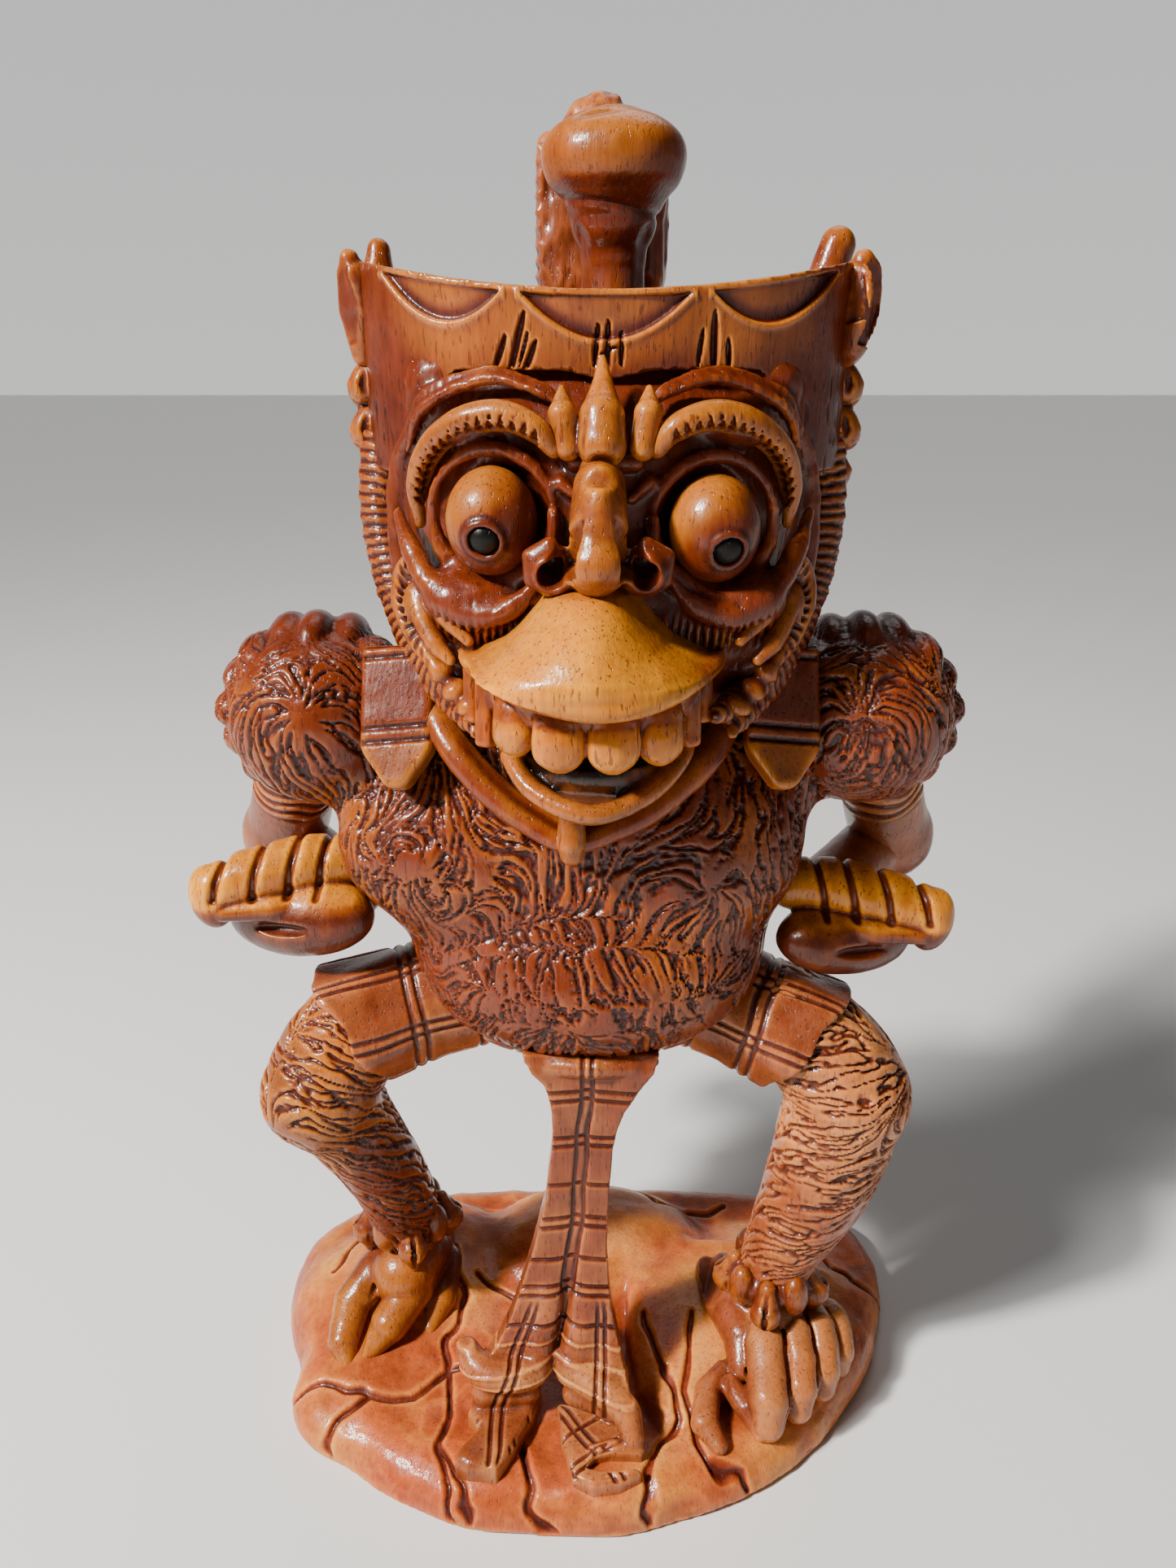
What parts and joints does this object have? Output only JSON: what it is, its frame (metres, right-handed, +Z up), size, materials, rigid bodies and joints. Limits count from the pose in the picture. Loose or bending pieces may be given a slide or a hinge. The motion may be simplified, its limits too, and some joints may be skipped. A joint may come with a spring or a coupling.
{
  "type": "carved wooden guardian figure",
  "caption": "Carved and varnished wooden monkey-like guardian with crown, bulging eyes, bill-like mouth, furry body and draped cloth, standing on a rocky oval base.",
  "frame": {"origin": "centre of the flat underside of the base", "axes": "+Z up, the figure faces -Y, +X to the right of someone facing it"},
  "size_m": [0.1696, 0.1144, 0.301],
  "materials": {
    "wood_brown": "stained red-brown, carved, satin to gloss varnish",
    "wood_burnished": "golden brown, smooth and burnished, gloss varnish",
    "wood_reddish": "red-brown stain rubbed back on the high spots, varnished",
    "wood_orange": "orange-red stain, satin varnish",
    "wood_dark": "dark stain, gloss varnish",
    "inlay_black": "black, glossy, let into the eyeball"
  },
  "bodies": {
    "root": {"base": "wood_orange", "foot_left": "wood_reddish", "foot_right": "wood_reddish", "ankle_cuff_left": "wood_brown", "ankle_cuff_right": "wood_brown", "leg_left": "wood_brown", "leg_right": "wood_brown", "thigh_cloth_left": "wood_reddish", "thigh_cloth_right": "wood_reddish", "hip_cloth": "wood_reddish", "sash": "wood_reddish", "torso": "wood_brown", "shoulder_left": "wood_brown", "shoulder_right": "wood_brown", "upper_arm_left": "wood_brown", "upper_arm_right": "wood_brown", "forearm_left": "wood_brown", "forearm_right": "wood_brown", "hand_left": "wood_burnished", "hand_right": "wood_burnished", "collar": "wood_burnished", "pendant": "wood_burnished", "lappet_left": "wood_burnished", "lappet_right": "wood_burnished", "head": "wood_brown", "hair_left": "wood_brown", "hair_right": "wood_brown", "cheek_curl_left": "wood_brown", "cheek_curl_right": "wood_brown", "brow_left": "wood_brown", "brow_right": "wood_brown", "forehead_petals": "wood_brown", "nose": "wood_brown", "eyeball_left": "wood_brown", "eyeball_right": "wood_brown", "pupil_left": "inlay_black", "pupil_right": "inlay_black", "bill": "wood_burnished", "upper_teeth": "wood_burnished", "tongue": "wood_dark", "lower_jaw": "wood_dark", "crown_band": "wood_burnished", "crown_horns_left": "wood_brown", "crown_horns_right": "wood_brown", "side_leaf_left": "wood_brown", "side_leaf_right": "wood_brown", "topknot_post": "wood_reddish", "topknot_knob": "wood_brown"}
  },
  "joints": []
}
